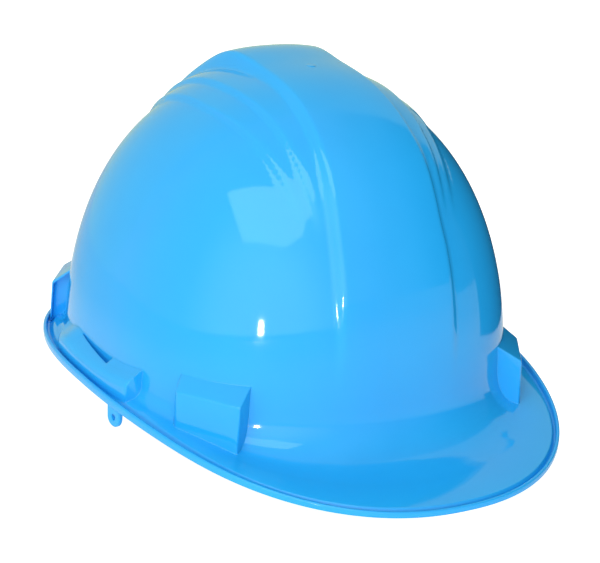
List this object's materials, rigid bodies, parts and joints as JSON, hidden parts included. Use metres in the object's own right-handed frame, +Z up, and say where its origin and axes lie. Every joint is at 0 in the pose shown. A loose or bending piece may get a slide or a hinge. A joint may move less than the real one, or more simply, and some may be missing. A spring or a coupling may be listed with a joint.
{
  "type": "hard hat",
  "caption": "Cap-style hard hat: ribbed glossy shell with a peak and rain gutter, crossed-strap suspension, and a nape strap drawn in by a ratchet knob.",
  "frame": {"origin": "centre of the bounding box at its bottom: the surface that the hat rests on, on its peak and its ratchet cover", "axes": "+X to the wearer's left, +Y from the peak to the nape, +Z up"},
  "size_m": [0.2208, 0.285, 0.1799],
  "materials": {
    "shell": "glossy moulded polyethylene, sky blue",
    "suspension": "moulded low-density polyethylene, pale grey",
    "webbing": "woven polyester webbing, charcoal",
    "foam": "brushed fabric over foam, dark grey",
    "ratchet": "fine-textured black nylon",
    "steel": "zinc-plated steel"
  },
  "bodies": {
    "shell": {"shell": "shell", "key_front_left": "suspension", "key_front_right": "suspension", "key_rear_left": "suspension", "key_rear_right": "suspension", "crown_strap_upper": "webbing", "crown_strap_lower": "webbing", "headband": "suspension", "brow_pad": "foam", "pivot_pin_left": "steel", "pivot_pin_right": "steel"},
    "left_tail": {"tail_left": "suspension"},
    "right_tail": {"tail_right": "suspension"},
    "ratchet": {"ratchet_housing": "ratchet", "ratchet_cover": "ratchet", "cover_screws": "steel", "click_spring": "ratchet", "nape_pad": "foam"},
    "knob": {"drive_gear": "ratchet", "ratchet_knob": "ratchet", "knob_screw": "steel"}
  },
  "joints": [
    {"name": "nape_slide", "type": "slide", "parent": "shell", "child": "ratchet", "axis": [0, 0.9613, -0.2753], "range_m": [-0.009, 0.009]},
    {"name": "knob_turn", "type": "hinge", "parent": "ratchet", "child": "knob", "pos_m": [0, 0.11422, 0.01831], "axis": [0, 0.9613, -0.2753], "range_deg": [-92.5, 92.5]},
    {"name": "left_tail_swing", "type": "hinge", "parent": "shell", "child": "left_tail", "pos_m": [0.0865, 0.03058, 0.04227], "axis": [0, 0.2753, 0.9613], "range_deg": [-6, 6]},
    {"name": "right_tail_swing", "type": "hinge", "parent": "shell", "child": "right_tail", "pos_m": [-0.0865, 0.03058, 0.04227], "axis": [0, 0.2753, 0.9613], "range_deg": [-6, 6]}
  ],
  "couplings": [
    {"joint": "knob_turn", "follows": "nape_slide", "rad_per_m": 178.97},
    {"joint": "left_tail_swing", "follows": "nape_slide", "rad_per_m": -11.561},
    {"joint": "right_tail_swing", "follows": "nape_slide", "rad_per_m": 11.561}
  ]
}
